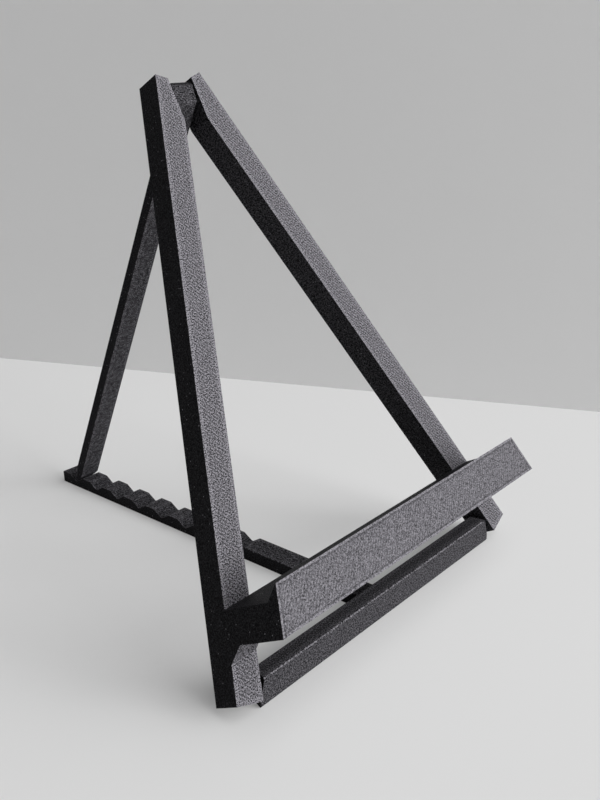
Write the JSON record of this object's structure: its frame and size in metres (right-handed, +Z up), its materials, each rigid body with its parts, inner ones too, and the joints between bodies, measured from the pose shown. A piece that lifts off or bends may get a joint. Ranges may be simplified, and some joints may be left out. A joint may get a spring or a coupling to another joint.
{
  "type": "photo album stand",
  "caption": "Folding easel with an A-shaped frame, a front ledge with a lip, a hinged prop leg and a hinged, notched T-shaped base.",
  "frame": {"origin": "on the floor, under the base hinge, on the centre plane between the two legs", "axes": "+X to the right as seen from the front, +Y to the rear, towards the prop leg's foot, +Z up"},
  "size_m": [0.123, 0.1566, 0.1425],
  "materials": {
    "black_filament": "matte charcoal filament with a fine sparkle and printed layer lines",
    "hinge_pin": "matte"
  },
  "bodies": {
    "frame": {"left_leg": "black_filament", "right_leg": "black_filament", "album_ledge": "black_filament", "left_gusset": "black_filament", "right_gusset": "black_filament"},
    "prop": {"prop_leg": "black_filament", "top_hinge_pin": "hinge_pin"},
    "base": {"base_crossbar": "black_filament", "base_rack": "black_filament", "left_base_pin": "hinge_pin", "right_base_pin": "hinge_pin"}
  },
  "joints": [
    {"name": "base_hinge", "type": "hinge", "parent": "frame", "child": "base", "pos_m": [0, 0, 0.004], "axis": [1, 0, 0], "range_deg": [-60, 0]},
    {"name": "prop_hinge", "type": "hinge", "parent": "frame", "child": "prop", "pos_m": [0, 0.0714, 0.13591], "axis": [1, 0, 0], "range_deg": [-51, 0]}
  ],
  "couplings": [
    {"joint": "prop_hinge", "follows": "base_hinge", "ratio": 0.85}
  ]
}
